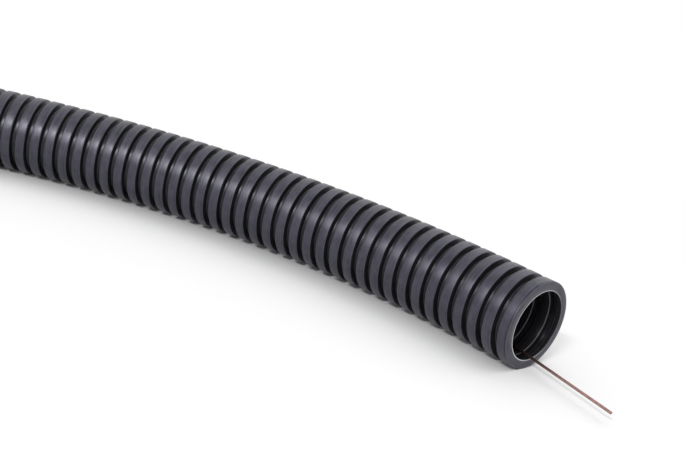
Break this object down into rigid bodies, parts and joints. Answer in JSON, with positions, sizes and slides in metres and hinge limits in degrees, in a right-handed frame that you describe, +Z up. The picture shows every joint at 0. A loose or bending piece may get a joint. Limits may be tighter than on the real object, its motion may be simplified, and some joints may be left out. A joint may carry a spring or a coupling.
{
  "type": "corrugated conduit",
  "caption": "Black ribbed plastic conduit, lying in a wide quarter turn with a straight tail, with a thin copper-coloured wire through its bore for pulling cables in.",
  "frame": {"origin": "middle of the mouth, in the plane of the cut end that the wire sticks out of", "axes": "+X straight out of the mouth, +Z up from the floor the conduit lies on, +Y to the outside of its bend"},
  "size_m": [0.2988, 0.876, 0.025],
  "materials": {
    "conduit_plastic": "charcoal black, satin on the crests, with fine scratches round them",
    "wire_metal": "copper-coated steel, dull reddish brown"
  },
  "bodies": {
    "root": {"conduit": "conduit_plastic", "draw_wire": "wire_metal"}
  },
  "joints": []
}
